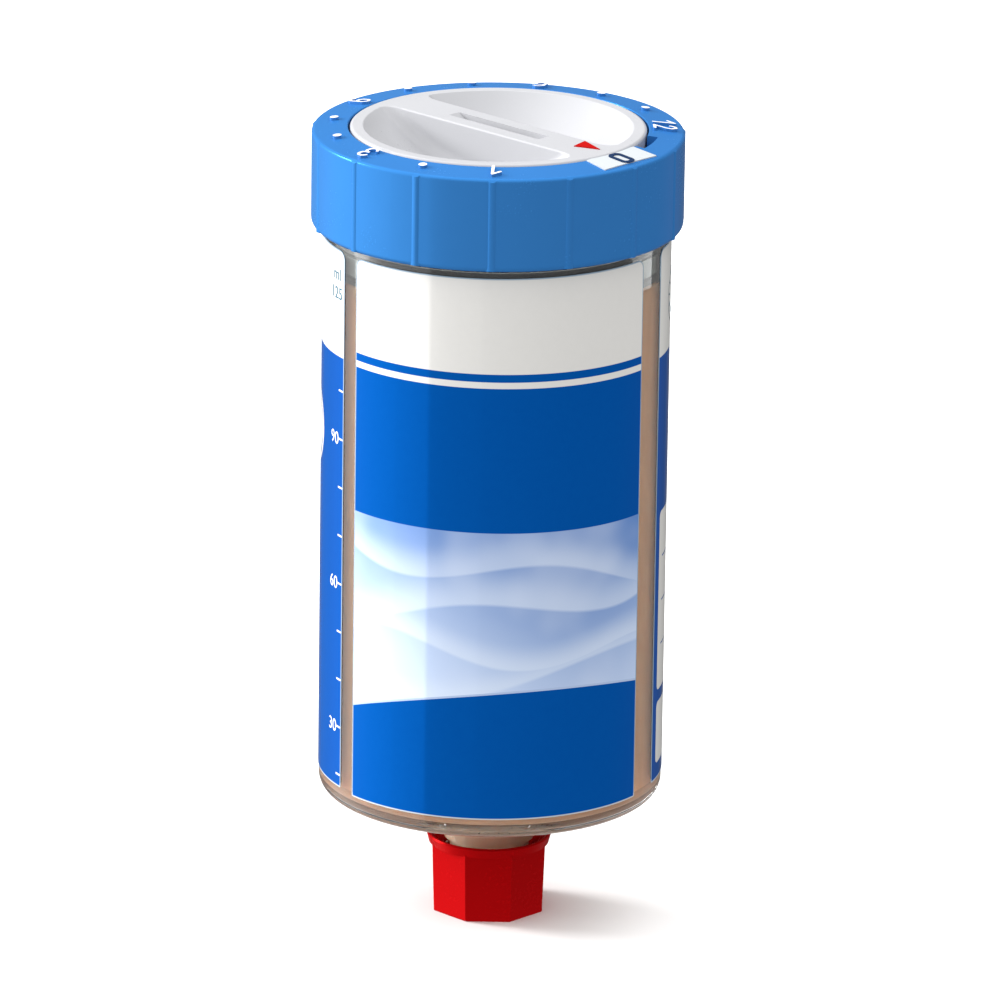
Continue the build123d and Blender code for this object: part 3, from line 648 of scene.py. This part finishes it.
# ------------------------------------------------------------------ floor, light, camera
bm = bmesh.new()
side, cells = 8.0, 8
for i in range(cells + 1):
    for j in range(cells + 1):
        bm.verts.new(((i / cells - 0.5) * side, (j / cells - 0.5) * side, 0))
bm.verts.ensure_lookup_table()
for i in range(cells):
    for j in range(cells):
        q = i * (cells + 1) + j
        bm.faces.new([bm.verts[q], bm.verts[q + cells + 1], bm.verts[q + cells + 2], bm.verts[q + 1]])
me = bpy.data.meshes.new("floor")
bm.to_mesh(me)
bm.free()
floor = bpy.data.objects.new("floor", me)
scene.collection.objects.link(floor)
fl = Mat("floor_pale")
fl.bsdf.inputs["Specular IOR Level"].default_value = 0.2
fl.colour(fl.mix(fl.noise(0.004, 3), (0.93, 0.93, 0.93, 1), (0.90, 0.90, 0.90, 1)))
fl.rough(fl.ramp(fl.noise(0.01, 3), 0.3, 0.7, 0.65, 0.8))
me.materials.append(fl.mat)
# the cap stands on the floor and stays there: when it is pulled off, the lubricator is lifted from it
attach(floor, "thread_cap")
# the object is lit as in a light tent: the floor takes its shadow but adds no bounce of its own
floor.visible_glossy = False
floor.visible_diffuse = False


def world():
    w = bpy.data.worlds.new("tent")
    scene.world = w
    w.use_nodes = True
    nt = w.node_tree
    nt.nodes.clear()
    out = nt.nodes.new("ShaderNodeOutputWorld")
    bg = nt.nodes.new("ShaderNodeBackground")
    tc = nt.nodes.new("ShaderNodeTexCoord")
    sep = nt.nodes.new("ShaderNodeSeparateXYZ")
    nt.links.new(tc.outputs["Generated"], sep.inputs[0])

    def mth(op, a, b_=None, c=None):
        n = nt.nodes.new("ShaderNodeMath")
        n.operation = op
        for i, q in enumerate((a, b_, c)):
            if isinstance(q, bpy.types.NodeSocket):
                nt.links.new(q, n.inputs[i])
            elif q is not None:
                n.inputs[i].default_value = q
        return n.outputs[0]

    def rng(v, a, b_, lo, hi):
        n = nt.nodes.new("ShaderNodeMapRange")
        n.interpolation_type = "SMOOTHSTEP"
        nt.links.new(v, n.inputs[0])
        for i, q in enumerate((a, b_, lo, hi)):
            n.inputs[i + 1].default_value = q
        return n.outputs[0]

    x, y, z = sep.outputs
    az = mth("MULTIPLY", mth("ARCTAN2", x, mth("MULTIPLY", y, -1.0)), 180 / pi)
    # sides, a brighter ceiling and a dimmer ground
    sky = mth("ADD", TENT["side"], rng(z, 0.25, 0.95, 0.0, TENT["top"]))
    sky = mth("SUBTRACT", sky, rng(z, -0.1, -0.9, 0.0, TENT["ground"]))
    # falls off towards the right
    sky = mth("SUBTRACT", sky, mth("MULTIPLY", rng(x, -0.3, 1.0, 0.0, TENT["right"]), 1.0))
    # open towards the rear, where the tent gives less light
    dim = mth("MULTIPLY", rng(mth("ABSOLUTE", az), 132.0, 158.0, 0.0, TENT["rear"]),
              rng(mth("ABSOLUTE", z), 0.62, 0.42, 0.0, 1.0))
    sky = mth("SUBTRACT", sky, dim)
    # the long light panel on the left, with a straight near edge
    near = rng(az, TENT["panel_az1"] + 1.2, TENT["panel_az1"] - 1.2, 0.0, 1.0)
    far = rng(az, TENT["panel_az0"] - 14, TENT["panel_az0"] + 14, 0.0, 1.0)
    tall = mth("MULTIPLY", rng(z, -0.72, -0.62, 0.0, 1.0), rng(z, 0.70, 0.60, 0.0, 1.0))
    grade = rng(az, TENT["panel_az1"], TENT["panel_az1"] - 60, 0.75, 1.0)
    panel = mth("MULTIPLY", mth("MULTIPLY", near, far), mth("MULTIPLY", tall, grade))
    total = mth("ADD", sky, mth("MULTIPLY", panel, TENT["panel"]))
    # seen straight on, the tent is plain white
    path = nt.nodes.new("ShaderNodeLightPath")
    total = mth("MULTIPLY_ADD", mth("SUBTRACT", 1.0, total), path.outputs["Is Camera Ray"], total)
    bg.inputs[0].default_value = (1, 1, 1, 1)
    nt.links.new(total, bg.inputs[1])
    nt.links.new(bg.outputs[0], out.inputs[0])


TENT = {"side": 0.725, "top": 1.42, "ground": -0.06, "right": 0.12, "panel": 1.5, "rear": 0.45,
        "panel_az0": -128.0, "panel_az1": -44.2}
world()


def area(name, az, el, dist, size, power, aim=(0, 0, 0.06), colour=(1, 1, 1)):
    li = bpy.data.lights.new(name, "AREA")
    li.shape, li.size, li.energy, li.color = "DISK", size, power, colour
    ob = bpy.data.objects.new(name, li)
    scene.collection.objects.link(ob)
    a, e = radians(az), radians(el)
    back = Vector((sin(a) * cos(e), -cos(a) * cos(e), sin(e)))
    ob.location = Vector(aim) + back * dist
    ob.rotation_euler = (-back).to_track_quat("-Z", "Y").to_euler()
    ob.visible_camera = False
    return ob


area("key", -108, 22, 1.3, 0.45, 20.0)

cam = bpy.data.cameras.new("camera")
cam.lens, cam.sensor_width, cam.sensor_fit = 344.4, 36.0, "HORIZONTAL"
cam.clip_start, cam.clip_end = 0.05, 60.0
cam_ob = bpy.data.objects.new("camera", cam)
scene.collection.objects.link(cam_ob)
yaw, pitch, roll = radians(0.0413), radians(-17.478), radians(0.80)
fwd = Vector((sin(yaw) * cos(pitch), cos(yaw) * cos(pitch), sin(pitch)))
right = Vector((cos(yaw), -sin(yaw), 0))
upv = right.cross(fwd)
r2 = cos(roll) * right + sin(roll) * upv
u2 = -sin(roll) * right + cos(roll) * upv
m4 = Matrix.Identity(4)
for i in range(3):
    m4[i][0], m4[i][1], m4[i][2] = r2[i], u2[i], -fwd[i]
m4.translation = Vector((0.0, -1.32139, 0.47822))
cam_ob.matrix_world = m4
scene.camera = cam_ob

scene.view_settings.view_transform = "Standard"
scene.view_settings.look = "None"
